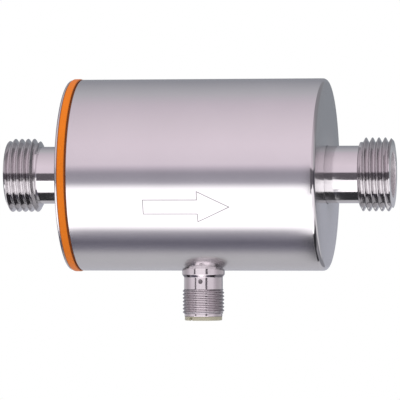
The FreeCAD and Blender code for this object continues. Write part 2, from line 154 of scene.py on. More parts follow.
def turned(
    axis: Axis, corners: Sequence[Corner], steps: int, closed: bool = True, into: BMesh | None = None
) -> BMesh:
    """Turn a profile once round its axis.

    Args:
        axis: Axis of the piece.
        corners: Corners of the profile.
        steps: Faces round the piece.
        closed: Whether the profile closes on itself.
        into: Mesh to add to, if not a new one.

    Returns:
        The mesh.
    """
    bm = bmesh.new() if into is None else into
    wire = profile_wire(bm, axis, corners, closed)
    bmesh.ops.spin(
        bm, geom=wire, cent=axis.middle, axis=axis.way, dvec=(0, 0, 0), angle=math.tau, steps=steps,
        use_merge=True, use_duplicate=False,
    )
    return bm


def close_up(bm: BMesh) -> None:
    """Merge doubles and turn every face outwards."""
    bmesh.ops.remove_doubles(bm, verts=bm.verts[:], dist=WELD)
    bmesh.ops.recalc_face_normals(bm, faces=bm.faces[:])


def smooth(mesh: Mesh) -> None:
    """Shade a mesh smoothly, apart from its sharp edges."""
    mesh.shade_smooth()
    mesh.set_sharp_from_angle(angle=SHARP_ANGLE)


def as_object(bm: BMesh, name: str) -> Object:
    """Close a mesh up and link it to the scene as an object at the origin.

    Args:
        bm: Finished mesh, which is freed.
        name: Name of the piece.

    Returns:
        The new object.
    """
    close_up(bm)
    mesh = bpy.data.meshes.new(name)
    bm.to_mesh(mesh)
    bm.free()
    smooth(mesh)
    piece = bpy.data.objects.new(name, mesh)
    bpy.context.scene.collection.objects.link(piece)
    return piece


def carve(piece: Object, tool_bm: BMesh, carving: Carving) -> None:
    """Change a piece's mesh with a tool shape, which is then thrown away.

    Args:
        piece: Object to change.
        tool_bm: Closed tool shape, which is freed.
        carving: Whether the tool is taken away or joined on.
    """
    tool = as_object(tool_bm, "tool")
    modifier = piece.modifiers.new("carving", "BOOLEAN")
    modifier.operation = carving.value
    modifier.solver = "EXACT"
    modifier.object = tool
    graph = bpy.context.evaluated_depsgraph_get()
    result = bpy.data.meshes.new_from_object(piece.evaluated_get(graph))
    piece.modifiers.clear()
    spare = [piece.data, tool.data]
    piece.data = result
    bpy.data.objects.remove(tool)
    for mesh in spare:
        bpy.data.meshes.remove(mesh)
    result.name = piece.name
    smooth(result)


class NodeSheet:
    """Short way to add and join nodes in one node tree."""

    def __init__(self, tree: NodeTree) -> None:
        """Keep the tree."""
        self.tree = tree

    def feed(self, node: Node, name: str | int, value: object) -> None:
        """Join an output to one of a node's inputs, or set the input.

        Args:
            node: The node.
            name: Name or number of its input.
            value: Output socket to join or a plain value.
        """
        if isinstance(value, NodeSocket):
            self.tree.links.new(value, node.inputs[name])
        else:
            node.inputs[name].default_value = value

    def add(self, kind: str, inputs: Inputs | None = None, **settings: object) -> Node:
        """Add a node.

        Args:
            kind: Type name of the node.
            inputs: Names or numbers of inputs, each with an output socket or a plain value.
            settings: Properties of the node.

        Returns:
            The new node.
        """
        node = self.tree.nodes.new(kind)
        for name, value in settings.items():
            setattr(node, name, value)
        for name, value in (inputs or {}).items():
            self.feed(node, name, value)
        return node

    def math(self, operation: str, *values: object) -> NodeSocket:
        """Result of a math node on output sockets or numbers."""
        return self.add("ShaderNodeMath", dict(enumerate(values)), operation=operation).outputs[0]

    def vector(self, operation: str, *values: object) -> NodeSocket:
        """Vector of a vector math node on output sockets or vectors."""
        return self.add("ShaderNodeVectorMath", dict(enumerate(values)), operation=operation).outputs[0]

    def mix(self, share: NodeSocket, first: NodeSocket, second: Colour) -> NodeSocket:
        """Colour mixed from two, by the share of the second one."""
        inputs = {"Factor": share, 6: first, 7: (*second, 1.0)}
        return self.add("ShaderNodeMix", inputs, data_type="RGBA").outputs[2]

    def place(self) -> NodeSocket:
        """Object coordinates of the surface."""
        return self.add("ShaderNodeTexCoord").outputs["Object"]

    def coordinate(self, letter: str) -> NodeSocket:
        """One of the surface's object coordinates."""
        return self.add("ShaderNodeSeparateXYZ", {0: self.place()}).outputs[letter]

    def noise(self, inputs: Inputs, **settings: object) -> NodeSocket:
        """Value of a noise texture."""
        return self.add("ShaderNodeTexNoise", inputs, **settings).outputs[0]

    def remap(self, value: NodeSocket, *limits: object) -> NodeSocket:
        """Value mapped from its first two limits to the other two."""
        names = ("From Min", "From Max", "To Min", "To Max")
        return self.add("ShaderNodeMapRange", {"Value": value, **dict(zip(names, limits))}).outputs[0]


class EffectSheet(NodeSheet):
    """Nodes of a shared effect, between its group's inputs and outputs."""

    def __init__(self, tree: NodeTree) -> None:
        """Add both ends of the group.

        Args:
            tree: The group's tree.
        """
        super().__init__(tree)
        self.start = self.add("NodeGroupInput")
        self.end = self.add("NodeGroupOutput")

    def given(self, name: str) -> NodeSocket:
        """Value that the group is given."""
        return self.start.outputs[name]

    def give(self, name: str, value: NodeSocket) -> None:
        """Put a value out of the group."""
        self.feed(self.end, name, value)


@dataclass(frozen=True)
class SurfaceEffect:
    """Shader node group that several finishes share, with the names and kinds of its sockets."""

    name: str
    inputs: dict[str, str]
    outputs: dict[str, str]
    fill: Callable[[EffectSheet], None]

    def tree(self) -> NodeTree:
        """Make the group on first use.

        Returns:
            The group's tree.
        """
        tree = bpy.data.node_groups.get(self.name)
        if tree is None:
            tree = bpy.data.node_groups.new(self.name, "ShaderNodeTree")
            for way, sockets in (("INPUT", self.inputs), ("OUTPUT", self.outputs)):
                for label, kind in sockets.items():
                    tree.interface.new_socket(label, in_out=way, socket_type="NodeSocket" + kind)
            self.fill(EffectSheet(tree))
        return tree


def fill_mottle(sheet: EffectSheet) -> None:
    """Cloudy change of colour and gloss, as handling and cleaning leave it.

    Args:
        sheet: Nodes of the group.
    """
    inputs = {"Vector": sheet.given("Point"), "Scale": sheet.given("Scale"), "Detail": 5.0}
    centred = sheet.remap(sheet.noise(inputs), NOISE_LOW, NOISE_HIGH, -1.0, 1.0)
    sway = sheet.math("MULTIPLY", centred, sheet.given("Amount"))
    tone = sheet.math("ADD", sway, 1.0)
    sheet.give("Color", sheet.vector("MULTIPLY", sheet.given("Color"), tone))
    sheet.give("Sway", sway)


def fill_tool_lines(sheet: EffectSheet) -> None:
    """Fine uneven rings across one direction, as a turning or grinding tool leaves them.

    Args:
        sheet: Nodes of the group.
    """
    row = sheet.math("MULTIPLY", sheet.given("Along"), sheet.given("Per Metre"))
    fine = sheet.noise({"W": row, "Scale": 1.0, "Detail": 3.0}, noise_dimensions="1D")
    coarse = sheet.noise({"W": row, "Scale": COARSE_LINES, "Detail": 1.0}, noise_dimensions="1D")
    sheet.give("Height", sheet.math("ADD", fine, sheet.math("MULTIPLY", coarse, COARSE_SHARE)))


def fill_near_axis(sheet: EffectSheet) -> None:
    """Mask of what lies near an axis: 1 inside one radius, 0 outside another.

    Args:
        sheet: Nodes of the group.
    """
    away = sheet.vector("SUBTRACT", sheet.given("Point"), sheet.given("Middle"))
    across = sheet.vector("MULTIPLY", away, sheet.given("Across"))
    radius = sheet.add("ShaderNodeVectorMath", {0: across}, operation="LENGTH").outputs["Value"]
    sheet.give("Mask", sheet.remap(radius, sheet.given("Inside"), sheet.given("Outside"), 1.0, 0.0))


def fill_grain(sheet: EffectSheet) -> None:
    """Fine pitted grain of a moulded or blasted surface.

    Args:
        sheet: Nodes of the group.
    """
    inputs = {"Vector": sheet.given("Point"), "Scale": sheet.given("Scale")}
    fine = sheet.noise({**inputs, "Detail": 4.0, "Roughness": 0.65})
    pits = sheet.add("ShaderNodeTexVoronoi", inputs, feature="SMOOTH_F1").outputs["Distance"]
    sheet.give("Height", sheet.math("ADD", fine, sheet.math("MULTIPLY", pits, PIT_SHARE)))


class SurfaceEffects:
    """Every shared effect."""

    MOTTLE = SurfaceEffect(
        "surface mottle",
        {"Point": "Vector", "Color": "Color", "Scale": "Float", "Amount": "Float"},
        {"Color": "Color", "Sway": "Float"},
        fill_mottle,
    )
    TOOL_LINES = SurfaceEffect(
        "tool lines", {"Along": "Float", "Per Metre": "Float"}, {"Height": "Float"}, fill_tool_lines
    )
    NEAR_AXIS = SurfaceEffect(
        "near axis",
        {"Point": "Vector", "Middle": "Vector", "Across": "Vector", "Inside": "Float", "Outside": "Float"},
        {"Mask": "Float"},
        fill_near_axis,
    )
    GRAIN = SurfaceEffect(
        "moulded grain", {"Point": "Vector", "Scale": "Float"}, {"Height": "Float"}, fill_grain
    )


class SurfaceSheet(NodeSheet):
    """Nodes of a material, with its Principled BSDF at hand."""

    def __init__(self, material: Material) -> None:
        """Keep the material's tree and its surface shader."""
        super().__init__(material.node_tree)
        self.surface = self.tree.nodes["Principled BSDF"]

    def put(self, name: str, value: object) -> None:
        """Join an output to the surface shader or set its input."""
        self.feed(self.surface, name, value)

    def joined(self, name: str) -> NodeSocket:
        """Output that is joined to the surface shader's input."""
        return self.surface.inputs[name].links[0].from_socket

    def effect(self, effect: SurfaceEffect, inputs: Inputs) -> Node:
        """Place a shared effect."""
        return self.add("ShaderNodeGroup", inputs, node_tree=effect.tree())

    def cloud(self, colour: Colour, scale: float, amount: float) -> NodeSocket:
        """Give the surface a cloudy colour.

        Args:
            colour: Middle colour.
            scale: Clouds per metre.
            amount: Largest change, as a share.

        Returns:
            The change over the surface.
        """
        inputs = {"Point": self.place(), "Color": (*colour, 1.0), "Scale": scale, "Amount": amount}
        cloudy = self.effect(SurfaceEffects.MOTTLE, inputs)
        self.put("Base Color", cloudy.outputs["Color"])
        return cloudy.outputs["Sway"]

    def near(self, axis: Axis, inside: float, outside: float) -> NodeSocket:
        """Mask of the surface near an axis: 1 within one radius, 0 beyond the other."""
        inputs = {"Point": self.place(), "Middle": axis.middle, "Across": axis.across,
                  "Inside": inside, "Outside": outside}
        return self.effect(SurfaceEffects.NEAR_AXIS, inputs).outputs["Mask"]

    def recolour(self, mask: NodeSocket, colour: Colour) -> None:
        """Give a masked part of the surface another colour."""
        self.put("Base Color", self.mix(mask, self.joined("Base Color"), colour))

    def regloss(self, mask: NodeSocket, change: float) -> None:
        """Change the roughness of a masked part of the surface."""
        rough = self.math("ADD", self.joined("Roughness"), self.math("MULTIPLY", mask, change))
        self.put("Roughness", rough)

    def bump(self, height: NodeSocket, depth: float) -> None:
        """Raise the surface by a height, where 1 stands for the depth."""
        normal = self.add("ShaderNodeBump", {"Strength": 1.0, "Distance": depth, "Height": height})
        self.put("Normal", normal.outputs[0])


@dataclass(frozen=True)
class Finish:
    """Named finish with a cloudy colour and gloss, whose material is built on first use."""

    name: str
    colour: Colour
    roughness: float
    cloud_scale: float
    cloud_amount: float

    METALLIC = 0.0

    def material(self) -> Material:
        """Make the material on first use.

        Returns:
            The finish's material.
        """
        material = bpy.data.materials.get(self.name)
        if material is None:
            material = bpy.data.materials.new(self.name)
            material.use_nodes = True
            self.fill(SurfaceSheet(material))
        return material

    def fill(self, sheet: SurfaceSheet) -> None:
        """Clouded surface.

        Args:
            sheet: Nodes of the material.
        """
        sheet.put("Metallic", self.METALLIC)
        sway = sheet.cloud(self.colour, self.cloud_scale, self.cloud_amount)
        rough = sheet.math("ADD", sheet.math("MULTIPLY", sway, self.roughness), self.roughness)
        sheet.put("Roughness", rough)


@dataclass(frozen=True)
class TurnedMetal(Finish):
    """Metal with fine tool lines across one of the part's axes."""

    line_axis: str
    lines_per_metre: float
    line_depth: float

    METALLIC = 1.0

    def fill(self, sheet: SurfaceSheet) -> None:
        """Clouded metal with lines in its bump.

        Args:
            sheet: Nodes of the material.
        """
        super().fill(sheet)
        inputs = {"Along": sheet.coordinate(self.line_axis), "Per Metre": self.lines_per_metre}
        lines = sheet.effect(SurfaceEffects.TOOL_LINES, inputs)
        sheet.bump(lines.outputs["Height"], self.line_depth)


@dataclass(frozen=True)
class BoredMetal(TurnedMetal):
    """Turned metal that is matt nearer to an axis than its bore's radius, where its colour is also scaled:
    painted light in a nipple's bore, painted shade in the plug's dimple.
    """

    bore_axis: Axis = Axis.FLOW
    bore_radius: float = 6.6 * MM
    bore_roughness: float = 0.62
    # Factor on the bore's colour: painted light above 1, painted shade below 1.
    bore_painted_light_and_shade: float = 1.35

    def fill(self, sheet: SurfaceSheet) -> None:
        """Turned metal with a matt bore whose colour carries painted light and shade.

        Args:
            sheet: Nodes of the material.
        """
        super().fill(sheet)
        bore = sheet.near(self.bore_axis, self.bore_radius - MASK_EDGE, self.bore_radius)
        sheet.regloss(bore, self.bore_roughness - self.roughness)
        # Painted light and shade: the colour inside the bore radius is scaled, lighter in the nipples' bores
        # and darker in the plug's dimple.
        sheet.recolour(bore, tuple(channel * self.bore_painted_light_and_shade for channel in self.colour))


@dataclass(frozen=True)
class EdgedMetal(TurnedMetal):
    """Turned metal with a polished edge round its outlet end."""

    edge_x: float = 35.2 * MM
    edge_radius: float = 26.0 * MM
    edge_roughness: float = 0.07

    def fill(self, sheet: SurfaceSheet) -> None:
        """Turned metal that is smoother past the edge's start and outside its inner radius.

        Args:
            sheet: Nodes of the material.
        """
        super().fill(sheet)
        past = sheet.math("GREATER_THAN", sheet.coordinate("X"), self.edge_x)
        face = sheet.near(Axis.FLOW, self.edge_radius - MASK_EDGE, self.edge_radius)
        sheet.regloss(sheet.math("SUBTRACT", past, face), self.edge_roughness - self.roughness)


@dataclass(frozen=True)
class Moulded(Finish):
    """Plastic or rubber with a moulded grain."""

    grain_scale: float
    grain_depth: float

    def fill(self, sheet: SurfaceSheet) -> None:
        """Clouded surface with grain in its bump.

        Args:
            sheet: Nodes of the material.
        """
        super().fill(sheet)
        grain = sheet.effect(SurfaceEffects.GRAIN, {"Point": sheet.place(), "Scale": self.grain_scale})
        sheet.bump(grain.outputs["Height"], self.grain_depth)


@dataclass(frozen=True)
class BlastedMetal(Moulded):
    """Metal with a fine even grain."""

    METALLIC = 1.0


@dataclass(frozen=True)
class SealRubber(Moulded):
    """Moulded rubber with painted shade on its rounded outer edges and its lip."""

    lip_radius: float = 27.0 * MM
    top_radius: float = 27.28 * MM
    painted_shade_colour: Colour = (0.3, 0.08, 0.018)
    shine: float = 0.15

    def fill(self, sheet: SurfaceSheet) -> None:
        """Moulded rubber, darker towards the flow axis with painted shade.

        Args:
            sheet: Nodes of the material.
        """
        super().fill(sheet)
        sheet.put("Specular IOR Level", self.shine)
        # Painted shade: darker colour below the top radius, over the rounded edges and the lip's groove.
        sheet.recolour(sheet.near(Axis.FLOW, self.lip_radius, self.top_radius), self.painted_shade_colour)


@dataclass(frozen=True)
class Winding(Finish):
    """Lacquered copper wire wound in rings."""

    wire_diameter: float = 0.25 * MM
    wire_relief: float = 0.25 / 3 * MM

    METALLIC = 1.0

    def fill(self, sheet: SurfaceSheet) -> None:
        """Clouded copper whose bump is a row of round wires.

        Args:
            sheet: Nodes of the material.
        """
        super().fill(sheet)
        turns = sheet.math("MULTIPLY", sheet.coordinate("Z"), math.pi / self.wire_diameter)
        sheet.bump(sheet.math("ABSOLUTE", sheet.math("SINE", turns)), self.wire_relief)


@dataclass(frozen=True)
class Laminate(Finish):
    """Circuit board with copper tracks under green resist."""

    track_colour: Colour = (0.05, 0.22, 0.09)
    track_scale: float = 140.0
    track_width: float = 0.06
    track_height: float = 0.03 * MM

    def fill(self, sheet: SurfaceSheet) -> None:
        """Clouded resist with lighter, slightly raised tracks.

        Args:
            sheet: Nodes of the material.
        """
        super().fill(sheet)
        resist = (*self.colour, 1.0)
        inputs = {"Vector": sheet.place(), "Scale": self.track_scale, "Mortar Size": self.track_width,
                  "Color1": resist, "Color2": resist, "Mortar": (*self.track_colour, 1.0)}
        cells = sheet.add("ShaderNodeTexBrick", inputs)
        sheet.put("Base Color", cells.outputs["Color"])
        sheet.bump(cells.outputs["Fac"], self.track_height)


class Finishes:
    """Every finish of the flow sensor, named as a maker would.

    Each has its colour, roughness, clouds per metre and their amount, then its lines or grain.
    """

    HOUSING = EdgedMetal(
        "satin housing steel", (0.62, 0.607, 0.616), 0.21, 40.0, 0.03, "X", 7000.0, 0.0008 * MM
    )
    COVER = TurnedMetal("satin cover steel", (0.61, 0.597, 0.606), 0.25, 40.0, 0.03, "X", 7000.0, 0.0008 * MM)
    NIPPLE = BoredMetal(
        "turned nipple steel", (0.615, 0.6, 0.608), 0.10, 90.0, 0.04, "X", 5200.0, 0.0004 * MM
    )
    PLUG = BoredMetal(
        "plated plug shell", (0.44, 0.405, 0.425), 0.12, 150.0, 0.04, "Z", 6000.0, 0.0004 * MM,
        # Painted shade: the plug's dimple inside this radius is darkened.
        bore_axis=Axis.PLUG, bore_radius=5.33 * MM, bore_roughness=0.5, bore_painted_light_and_shade=0.3,
    )
    SEAL = SealRubber("orange seal rubber", (0.75, 0.182, 0.008), 0.4, 120.0, 0.04, 1800.0, 0.004 * MM)
    INSERT = Moulded("olive insert plastic", (0.40, 0.375, 0.28), 0.35, 200.0, 0.05, 2600.0, 0.003 * MM)
    CONTACT = BlastedMetal("gold plated contact", (0.85, 0.60, 0.22), 0.18, 300.0, 0.05, 6000.0, 0.0008 * MM)
    MARKING = Moulded("grey laser marking", (0.27, 0.25, 0.27), 0.55, 400.0, 0.12, 4000.0, 0.002 * MM)
    BLACK_RUBBER = Moulded("black seal rubber", (0.014, 0.014, 0.015), 0.5, 150.0, 0.1, 2200.0, 0.005 * MM)
    TUBE = Moulded("beige tube plastic", (0.42, 0.31, 0.19), 0.4, 80.0, 0.05, 2000.0, 0.003 * MM)
    DARK_PLASTIC = Moulded("dark moulded plastic", (0.02, 0.021, 0.023), 0.45, 120.0, 0.1, 2500.0, 0.005 * MM)
    PALE_PLASTIC = Moulded("pale moulded plastic", (0.62, 0.61, 0.57), 0.45, 120.0, 0.05, 2500.0, 0.004 * MM)
    LEAD = Moulded("lead sleeve plastic", (0.42, 0.03, 0.02), 0.4, 250.0, 0.08, 4000.0, 0.003 * MM)
    RIBBON = Moulded("amber ribbon film", (0.52, 0.21, 0.03), 0.25, 150.0, 0.06, 3000.0, 0.002 * MM)
    IRON = BlastedMetal("soft iron", (0.32, 0.31, 0.30), 0.42, 90.0, 0.1, 1600.0, 0.006 * MM)
    ELECTRODE = BlastedMetal("polished electrode", (0.66, 0.64, 0.60), 0.15, 300.0, 0.04, 5000.0, 0.0008 * MM)
    SCREW = BlastedMetal("zinc plated screw", (0.55, 0.55, 0.52), 0.3, 250.0, 0.08, 4000.0, 0.002 * MM)
    COPPER = Winding("lacquered copper winding", (0.70, 0.27, 0.12), 0.3, 300.0, 0.08)
    BOARD = Laminate("green board laminate", (0.02, 0.13, 0.05), 0.35, 120.0, 0.1)


def finish_piece(piece: Object, finish: Finish, nodes: Sequence[str] = ()) -> None:
    """Dress a new piece, fix it to the body and hide the solids that it stands for.

    Args:
        piece: Object of the piece.
        finish: Finish of its whole surface.
        nodes: Solids that the piece stands for.
    """
    piece.data.materials.clear()
    piece.data.materials.append(finish.material())
    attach(piece, BODY)
    if nodes:
        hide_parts(*nodes)
    log.info("%s: %d faces, %s", piece.name, len(piece.data.polygons), finish.name)


@dataclass
class Housing:
    """Drawn steel cup, its cover and the orange seal ring between them."""

    radius: float = 27.1 * MM
    wall: float = 1.2 * MM
    open_x: float = -33.55 * MM
    open_round: float = 0.25 * MM
    end_x: float = 36.4 * MM
    end_wall: float = 1.5 * MM
    edge_round: float = 1.2 * MM
    inner_round: float = 0.6 * MM
    neck_hole_radius: float = 8.25 * MM
    neck_hole_round: float = 0.1 * MM
    plug_hole_radius: float = 6.12 * MM
    plug_hole_depth: float = 6 * MM
    plug_hole_reach: float = 2 * MM
    plug_hole_steps: int = 128
    cover_x: float = -36.8 * MM
    cover_radius: float = 26.95 * MM
    cover_rim: float = 0.62 * MM
    cover_round: float = 0.4 * MM
    skirt_radius: float = 25.85 * MM
    skirt_inner_radius: float = 24.3 * MM
    skirt_end_x: float = -29.5 * MM
    skirt_round: float = 0.3 * MM
    seal_radius: float = 27.3 * MM
    seal_lip_radius: float = 26.5 * MM
    seal_lip_x: float = -33.95 * MM
    seal_round: float = 0.4 * MM
    seal_edge_round: float = 0.6 * MM
    gap: float = 0.02 * MM
    steps: int = 256

    def build(self) -> None:
        """Make and dress the cup, the cover and the seal ring."""
        cup = as_object(turned(Axis.FLOW, self.cup(), self.steps), "housing_cup_shell")
        carve(cup, turned(Axis.PLUG, self.plug_hole(), self.plug_hole_steps), Carving.TAKE_AWAY)
        finish_piece(cup, Finishes.HOUSING, ["housing_cup"])
        cover = as_object(turned(Axis.FLOW, self.cover(), self.steps), "end_cover_shell")
        finish_piece(cover, Finishes.COVER, ["end_cover"])
        seal = as_object(turned(Axis.FLOW, self.seal(), self.steps), "seal_ring_moulding")
        finish_piece(seal, Finishes.SEAL, ["seal_ring"])

    def cup(self) -> list[Corner]:
        """Profile of the cup, open at the inlet end, with a hole for the nipple's neck.

        Returns:
            Its corners.
        """
        inner = self.radius - self.wall
        inner_end = self.end_x - self.end_wall
        return [
            Corner(self.open_x, inner),
            Corner(self.open_x, self.radius, self.open_round),
            Corner(self.end_x, self.radius, self.edge_round),
            Corner(self.end_x, self.neck_hole_radius, self.neck_hole_round),
            Corner(inner_end, self.neck_hole_radius),
            Corner(inner_end, inner, self.inner_round),
        ]

    def plug_hole(self) -> list[Corner]:
        """Profile of the hole for the plug connector's collar.

        Returns:
            Its corners.
        """
        inside = self.radius - self.plug_hole_depth
        outside = self.radius + self.plug_hole_reach
        return [
            Corner(inside, 0.0),
            Corner(inside, self.plug_hole_radius),
            Corner(outside, self.plug_hole_radius),
            Corner(outside, 0.0),
        ]

    def cover(self) -> list[Corner]:
        """Profile of the cover plate with its skirt, which goes into the cup.

        Returns:
            Its corners.
        """
        rim_x = self.cover_x + self.cover_rim
        plate_x = self.end_wall - self.end_x
        return [
            Corner(self.cover_x, self.neck_hole_radius, self.neck_hole_round),
            Corner(self.cover_x, self.cover_radius, self.cover_round),
            Corner(rim_x, self.cover_radius),
            Corner(rim_x, self.skirt_radius),
            Corner(self.skirt_end_x, self.skirt_radius, self.skirt_round),
            Corner(self.skirt_end_x, self.skirt_inner_radius),
            Corner(plate_x, self.skirt_inner_radius),
            Corner(plate_x, self.neck_hole_radius),
        ]

    def seal(self) -> list[Corner]:
        """Profile of the seal ring, with a narrower lip next to the cup.

        Returns:
            Its corners.
        """
        start = self.cover_x + self.cover_rim + self.gap
        end = self.open_x - self.gap
        inner = self.skirt_radius + self.gap
        return [
            Corner(start, inner),
            Corner(start, self.seal_radius, self.seal_edge_round),
            Corner(self.seal_lip_x, self.seal_radius, self.seal_round),
            Corner(self.seal_lip_x, self.seal_lip_radius),
            Corner(end, self.seal_lip_radius),
            Corner(end, inner),
        ]


@dataclass
class FlowArrow:
    """Outlined arrow on the front of the housing, which points along the flow."""

    radius: float = 27.1 * MM
    tail_x: float = -12.0 * MM
    head_x: float = 3.2 * MM
    tip_x: float = 12.5 * MM
    middle: float = -9.26 * MM
    shaft_half: float = 2.16 * MM
    head_half: float = 4.6 * MM
    line: float = 0.2 * MM
    thickness: float = 0.02 * MM
    shortest_bent: float = 1.0 * MM
    cuts: int = 15

    def build(self) -> None:
        """Make and dress the outline."""
        bm = bmesh.new()
        face = bm.faces.new([bm.verts.new((x, s, 0)) for x, s in self.outline()])
        face.normal_update()
        bmesh.ops.inset_individual(bm, faces=[face], thickness=self.line, use_even_offset=True)
        bmesh.ops.delete(bm, geom=[face], context="FACES_ONLY")
        long_edges = [edge for edge in bm.edges if edge.calc_length() > self.shortest_bent]
        bmesh.ops.subdivide_edges(bm, edges=long_edges, cuts=self.cuts)
        bmesh.ops.recalc_face_normals(bm, faces=bm.faces[:])
        bmesh.ops.solidify(bm, geom=bm.faces[:], thickness=2 * self.thickness)
        level = max(vert.co.z for vert in bm.verts)
        for vert in bm.verts:
            radius = self.radius + self.thickness + vert.co.z - level
            angle = vert.co.y / self.radius
            vert.co = (vert.co.x, -radius * math.cos(angle), radius * math.sin(angle))
        finish_piece(as_object(bm, "flow_arrow_marking"), Finishes.MARKING)

    def outline(self) -> list[tuple[float, float]]:
        """Outline from the tail's upper corner.

        Returns:
            Its corners, along the flow and round the housing.
        """
        top, low = self.middle + self.shaft_half, self.middle - self.shaft_half
        return [
            (self.tail_x, top),
            (self.tail_x, low),
            (self.head_x, low),
            (self.head_x, self.middle - self.head_half),
            (self.tip_x, self.middle),
            (self.head_x, self.middle + self.head_half),
            (self.head_x, top),
        ]


@dataclass(frozen=True)
class ThreadForm:
    """Rounded thread on an axis, between a run-in cone and a chamfered end.

    The overshoot is a share of the depth, the rounding of the pitch and the least radius of the major one.
    """

    axis: Axis
    major: float
    pitch: float
    depth: float
    start: float
    start_radius: float
    start_slope: float
    end: float
    end_radius: float
    end_slope: float = 1.0
    overshoot: float = 0.25
    rounding: float = 0.2
    least: float = 0.2
    steps: int = 96

    def cut(self, bm: BMesh, crest: float) -> None:
        """Add the thread between the two open ends of a turned body.

        Args:
            bm: Mesh of the body.
            crest: Place of a crest on the profile's side.
        """
        bmesh.ops.remove_doubles(bm, verts=bm.verts[:], dist=WELD)
        known = set(bm.verts)
        self.wind(bm, crest)
        self.trim(bm, known)
        self.join_ends(bm)

    def wind(self, bm: BMesh, crest: float) -> None:
        """Wind the thread's section round the axis, past both ends.

        Args:
            bm: Mesh to add the thread's skin to.
            crest: Place of a crest on the profile's side.
        """
        known = set(bm.verts)
        quarter = self.pitch / 4
        middle = self.major - self.depth / 2
        overshoot = self.depth * self.overshoot
        rounding = self.pitch * self.rounding
        turns_back = math.ceil((crest - self.start) / self.pitch) + 2
        first = crest - quarter - turns_back * self.pitch
        turns = math.ceil((self.end - first) / self.pitch) + 1
        wire = profile_wire(bm, self.axis, [
            Corner(first, middle),
            Corner(first + quarter, self.major + overshoot, rounding),
            Corner(first + 3 * quarter, self.major - self.depth - overshoot, rounding),
            Corner(first + self.pitch, middle),
        ], closed=False)
        bmesh.ops.spin(
            bm, geom=wire, cent=self.axis.middle, axis=self.axis.way,
            dvec=self.axis.way * (self.pitch / self.steps), angle=math.tau, steps=self.steps,
            use_merge=False, use_duplicate=False,
        )
        one_turn = added(bm, known)
        one_turn += {face for vert in one_turn for face in vert.link_faces}
        for turn_number in range(1, turns):
            copy = bmesh.ops.duplicate(bm, geom=one_turn)["geom"]
            verts = [item for item in copy if isinstance(item, BMVert)]
            bmesh.ops.translate(bm, verts=verts, vec=self.axis.way * self.pitch * turn_number)
        bmesh.ops.remove_doubles(bm, verts=added(bm, known), dist=WELD)

    def cut_back(self, along: float) -> float:
        """Largest radius that the run-in cone and the end chamfer leave.

        Args:
            along: Place along the axis.

        Returns:
            The radius there.
        """
        run_in = self.start_radius + (along - self.start) * self.start_slope
        chamfer = self.end_radius + (self.end - along) * self.end_slope
        return max(min(run_in, chamfer), self.least * self.major)

    def trim(self, bm: BMesh, known: set[BMVert]) -> None:
        """Turn the thread's skin down to its cone and chamfer, and cut it off at both ends.

        Args:
            bm: Mesh with the thread's skin.
            known: Vertices of the body.
        """
        for vert in added(bm, known):
            along, radial = self.axis.place(vert.co)
            limit = self.cut_back(along)
            if radial > limit:
                foot = self.axis.middle + self.axis.way * along
                vert.co = foot + (vert.co - foot) * (limit / radial)
        for along, outwards in ((self.start, -1), (self.end, 1)):
            skin = added(bm, known)
            edges = {edge for vert in skin for edge in vert.link_edges}
            faces = {face for vert in skin for face in vert.link_faces}
            bmesh.ops.bisect_plane(
                bm, geom=skin + list(edges) + list(faces), dist=WELD,
                plane_co=self.axis.point(along, 0), plane_no=self.axis.way * outwards, clear_outer=True,
            )

    def join_ends(self, bm: BMesh) -> None:
        """Fill the rings between the thread's skin and the body's open ends.

        Args:
            bm: Mesh with the trimmed thread and the body.
        """
        for along in (self.start, self.end):
            rim = []
            for edge in bm.edges:
                if edge.is_boundary and abs(self.axis.place(edge.verts[0].co)[0] - along) < self.pitch / 4:
                    rim.append(edge)
            bmesh.ops.triangle_fill(bm, edges=rim, normal=self.axis.way, use_beauty=True)


@dataclass
class PipeNipple:
    """Turned nipple with a pipe thread, a neck and a hidden flange."""

    side: Side
    thread: ThreadForm = ThreadForm(
        Axis.FLOW, major=10.3 * MM, pitch=25.4 / 14 * MM, depth=1.162 * MM, start=45.85 * MM,
        start_radius=9.3 * MM, start_slope=1.0 / 0.6, end=55.0 * MM, end_radius=9.6 * MM,
    )
    bore_radius: float = 6.25 * MM
    mouth: float = 0.3 * MM
    neck_radius: float = 8.1 * MM
    flange_radius: float = 15.0 * MM
    flange_inner: float = 30.6 * MM
    flange_outer: float = 34.1 * MM
    flange_round: float = 0.4 * MM
    socket_radius: float = 12.5 * MM
    socket_end: float = 21.0 * MM
    tube_radius: float = 9.55 * MM
    tube_end: float = 29.0 * MM
    gap: float = 0.02 * MM
    steps: int = 128

    CRESTS = {Side.INLET: 53.16 * MM, Side.OUTLET: 52.80 * MM}

    def build(self) -> None:
        """Make and dress the nipple."""
        bm = turned(Axis.FLOW, self.profile(), self.steps, closed=False)
        self.thread.cut(bm, self.CRESTS[self.side])
        if self.side is Side.INLET:
            half_turn = Matrix.Rotation(math.pi, 3, "Z")
            bmesh.ops.rotate(bm, verts=bm.verts[:], cent=(0, 0, 0), matrix=half_turn)
        node = self.side.value + "_nipple"
        finish_piece(as_object(bm, node + "_turning"), Finishes.NIPPLE, [node])

    def profile(self) -> list[Corner]:
        """Open profile from the mouth, through the bore and round the flange, to the end of the neck.

        Returns:
            Its corners.
        """
        return [
            Corner(self.thread.end, self.bore_radius + self.mouth),
            Corner(self.thread.end - self.mouth, self.bore_radius),
            Corner(self.tube_end, self.bore_radius),
            Corner(self.tube_end, self.tube_radius),
            Corner(self.socket_end, self.tube_radius),
            Corner(self.socket_end, self.socket_radius),
            Corner(self.flange_inner, self.socket_radius),
            Corner(self.flange_inner, self.flange_radius, self.flange_round),
            Corner(self.flange_outer, self.flange_radius, self.flange_round),
            Corner(self.flange_outer, self.neck_radius),
            Corner(self.thread.start - self.gap, self.neck_radius),
        ]


